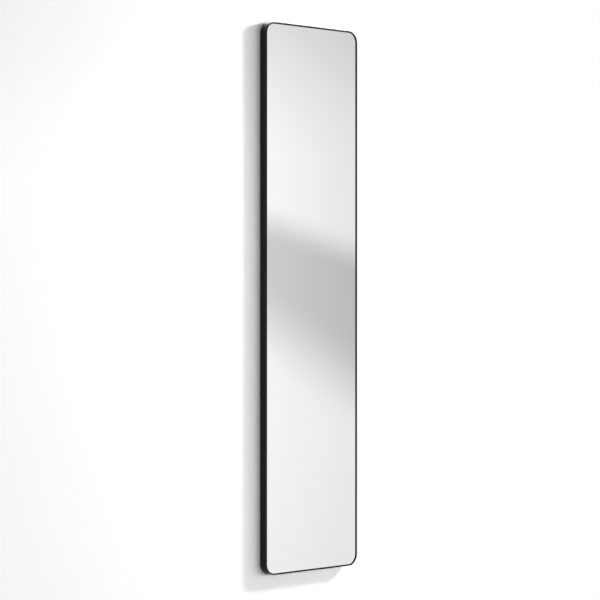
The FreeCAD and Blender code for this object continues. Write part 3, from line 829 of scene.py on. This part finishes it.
for side in (-1, 1):
    cut_out(wall_hook, add_cutter(side * SLOT_REACH, 0, SLOT_WIDTH / 2, SLOT_LENGTH - SLOT_WIDTH))
for step in range(RAIL_SCREWS):
    x = RAIL_SCREW_REACH * (2 * step / (RAIL_SCREWS - 1) - 1)
    cut_out(mirror_hook, add_cutter(x, 0, SCREW_HOLE))
for rail in (wall_hook, mirror_hook):
    take_up(rail)
    bpy.ops.object.mode_set(mode="EDIT")
    soften(RAIL_EDGE)
    end_edit(rail)
    rail.data.materials.append(aluminium)
settle(mirror_hook, (0, mirror_rail_low.y, mirror_rail_high.z - half_base), (math.pi, 0, 0))
join_mirror(wall_hook, "rail_aluminium", "wall_rail", body="wall_rail")
join_mirror(mirror_hook, "rail_aluminium", "mirror_rail")

# %% [markdown]
# ## The rubber bumpers
# Two bumpers keep the lower end off the wall, as far out as the rails keep the upper end. Each is a round
# block that narrows towards the wall, with a well that hides the head of its screw. A turned outline would
# do, but a cylinder is quicker: one end is made smaller, inset and pushed in for the well, and then both
# ends are opened and bridged, which makes the way for the screw. Moulded rubber has well rounded rims.

# %% Model the bumpers
BUMPER_SIDES = 64
BUMPER_TAPER = 0.9
WELL_RADIUS, WELL_DEPTH = 4.4 * MM, 3.7 * MM
BUMPER_RIM, BUMPER_RIM_STEPS = 1.0 * MM, 5
BUMPER_EDGE = 0.3 * MM

bumper_low, bumper_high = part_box("bumper_left")
bumper_middle = (bumper_low + bumper_high) / 2
bumper_radius = (bumper_high.x - bumper_low.x) / 2
wall_radius = BUMPER_TAPER * bumper_radius


def from_bumper_axis(point):
    """Measure how far a point lies from the axis of the left bumper."""
    return math.hypot(point.x - bumper_middle.x, point.z - bumper_middle.z)


bpy.ops.object.select_all(action="DESELECT")
bpy.ops.mesh.primitive_cylinder_add(
    vertices=BUMPER_SIDES, radius=bumper_radius, depth=bumper_high.y - bumper_low.y,
    location=bumper_middle, rotation=(math.pi / 2, 0, 0))
bumper = start_edit("rubber_bumper_left")
pick(bumper, "faces", lambda face: face.normal.y < FRONT_FACING)
bpy.ops.mesh.inset(thickness=bumper_radius - SCREW_HOLE)
pick(bumper, "faces", lambda face: face.normal.y > -FRONT_FACING)
bpy.ops.transform.resize(value=(BUMPER_TAPER, 1, BUMPER_TAPER), center_override=bumper_middle)
bpy.ops.mesh.inset(thickness=wall_radius - WELL_RADIUS)
extrude(0, -WELL_DEPTH, 0)
bpy.ops.mesh.inset(thickness=WELL_RADIUS - SCREW_HOLE)
pick(bumper, "faces", lambda face: all(
    from_bumper_axis(point.co) < SCREW_HOLE + TINY for point in face.verts))
bpy.ops.mesh.delete(type="FACE")
pick(bumper, "edges", lambda edge: edge.is_boundary)
bpy.ops.mesh.bridge_edge_loops()
pick(bumper, "edges", lambda edge: all(
    point.co.y > bumper_high.y - TINY and from_bumper_axis(point.co) > WELL_RADIUS + TINY
    for point in edge.verts))
bpy.ops.mesh.bevel(offset=BUMPER_RIM, segments=BUMPER_RIM_STEPS)
soften(BUMPER_EDGE)
end_edit(bumper)
bumper.data.materials.append(rubber)


def copy_piece(piece, name):
    """Copy a piece, with a mesh of its own."""
    take_up(piece)
    bpy.ops.object.duplicate(linked=False)
    copy = bpy.context.object
    copy.name = name
    copy.data.name = name
    return copy


right_bumper = copy_piece(bumper, "rubber_bumper_right")
settle(right_bumper, (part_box("bumper_right")[0].x - bumper_low.x, 0, 0))
join_mirror(bumper, "bumper_rubber", "bumper_left")
join_mirror(right_bumper, "bumper_rubber", "bumper_right")

# %% [markdown]
# ## The welded tabs
# Ten small steel tabs are welded inside the bar, and the screws through them hold the board. All ten are
# alike, so one is modelled with its root at the origin, pointing along X. A flat sheet gets two rounded
# corners and is extruded to a plate, the hole is cut, and every edge but those at the root is softened.

# %% Model one tab
TAB_REACH, TAB_WIDTH, TAB_THICK = 20 * MM, 26 * MM, 2 * MM
TAB_ROUND, TAB_ROUND_STEPS = 5 * MM, 8
TAB_HOLE_INSET = 12 * MM
TAB_EDGE = 0.3 * MM

tab_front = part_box("frame_tab_top")[0].y
tab_back = tab_front + TAB_THICK
bpy.ops.object.select_all(action="DESELECT")
bpy.ops.mesh.primitive_plane_add(
    size=1, location=(TAB_REACH / 2, tab_front, 0), rotation=(math.pi / 2, 0, 0))
bpy.context.object.scale = (TAB_REACH, TAB_WIDTH, 1)
tab = start_edit("tab_pattern")
pick(tab, "verts", lambda point: point.co.x > TAB_REACH - TINY)
bpy.ops.mesh.bevel(offset=TAB_ROUND, segments=TAB_ROUND_STEPS, affect="VERTICES")
bpy.ops.mesh.select_all(action="SELECT")
extrude(0, TAB_THICK, 0)
bpy.ops.mesh.select_all(action="SELECT")
bpy.ops.mesh.normals_make_consistent(inside=False)
bpy.ops.object.mode_set(mode="OBJECT")
cut_out(tab, add_cutter(TAB_HOLE_INSET, tab_back, SCREW_HOLE))
take_up(tab)
bpy.ops.object.mode_set(mode="EDIT")
pick(tab, "edges", lambda edge: edge.calc_face_angle(0) > SHARP and max(
    point.co.x for point in edge.verts) > TINY)
bpy.ops.mesh.bevel(offset=TAB_EDGE, segments=2)
end_edit(tab)
tab.data.materials.append(coat)
print("tab plate of", len(tab.data.polygons), "faces")

# %% [markdown]
# A weld is laid drop by drop: the arc melts one pool after another, and each sets as a ripple on the last.
# So the bead is a row of flattened balls, melted together by a voxel remesh and smoothed a little. Two
# bisects then cut away what would lie inside the bar and inside the plate.

# %% Lay the weld bead
BEAD_LENGTH = 21 * MM
BEAD_DROPS = 16
DROP_RADIUS, DROP_INSET, DROP_FLATNESS = 1.8 * MM, 0.55 * MM, 0.65
MELT_SIZE = 0.28 * MM

bead_run = BEAD_LENGTH - 2 * DROP_RADIUS * DROP_FLATNESS


def add_drop(step):
    """Add one flattened ball at its step along the root of the tab."""
    height = (step / (BEAD_DROPS - 1) - 0.5) * bead_run
    bpy.ops.mesh.primitive_uv_sphere_add(
        segments=24, ring_count=16, radius=DROP_RADIUS, scale=(1, 1, DROP_FLATNESS),
        location=(DROP_INSET, tab_back + DROP_INSET, height))


bpy.ops.object.select_all(action="DESELECT")
add_drop(0)
bead = start_edit("weld_bead")
for step in range(1, BEAD_DROPS):
    add_drop(step)
bpy.ops.object.mode_set(mode="OBJECT")
bead.data.remesh_voxel_size = MELT_SIZE
bpy.ops.object.voxel_remesh()
bpy.ops.object.mode_set(mode="EDIT")
bpy.ops.mesh.select_all(action="SELECT")
bpy.ops.mesh.vertices_smooth(factor=0.5, repeat=2)
for spot, facing in (((0, 0, 0), (1, 0, 0)), ((0, tab_back, 0), (0, 1, 0))):
    bpy.ops.mesh.select_all(action="SELECT")
    bpy.ops.mesh.bisect(plane_co=spot, plane_no=facing, use_fill=True, clear_inner=True, threshold=TINY)
end_edit(bead, smooth_angle=50)
bead.data.materials.append(coat)
print("weld bead of", len(bead.data.polygons), "faces")

# %% [markdown]
# The plate and its bead are joined, and the finished tab is copied to each place. The solids say where the
# places are: a tab points inwards from the bar, so its turn follows from the side that it is welded to.

# %% Copy the tab to its ten places
TAB_TURNS = {"left": 0, "right": 180, "top": 90, "bottom": -90}

take_up(tab)
bead.select_set(True)
bpy.ops.object.join()
for name in [name for name in nodes if name.startswith("frame_tab_")]:
    turn = math.radians(TAB_TURNS[name.split("_")[2]])
    inward = Vector((math.cos(turn), 0, -math.sin(turn)))
    solid_low, solid_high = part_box(name)
    root = (solid_low + solid_high) / 2 - inward * TAB_REACH / 2
    copy = copy_piece(tab, name.replace("frame", "welded"))
    settle(copy, (root.x, 0, root.z), (0, turn, 0))
    join_mirror(copy, "frame_black", name)
bpy.data.meshes.remove(tab.data)
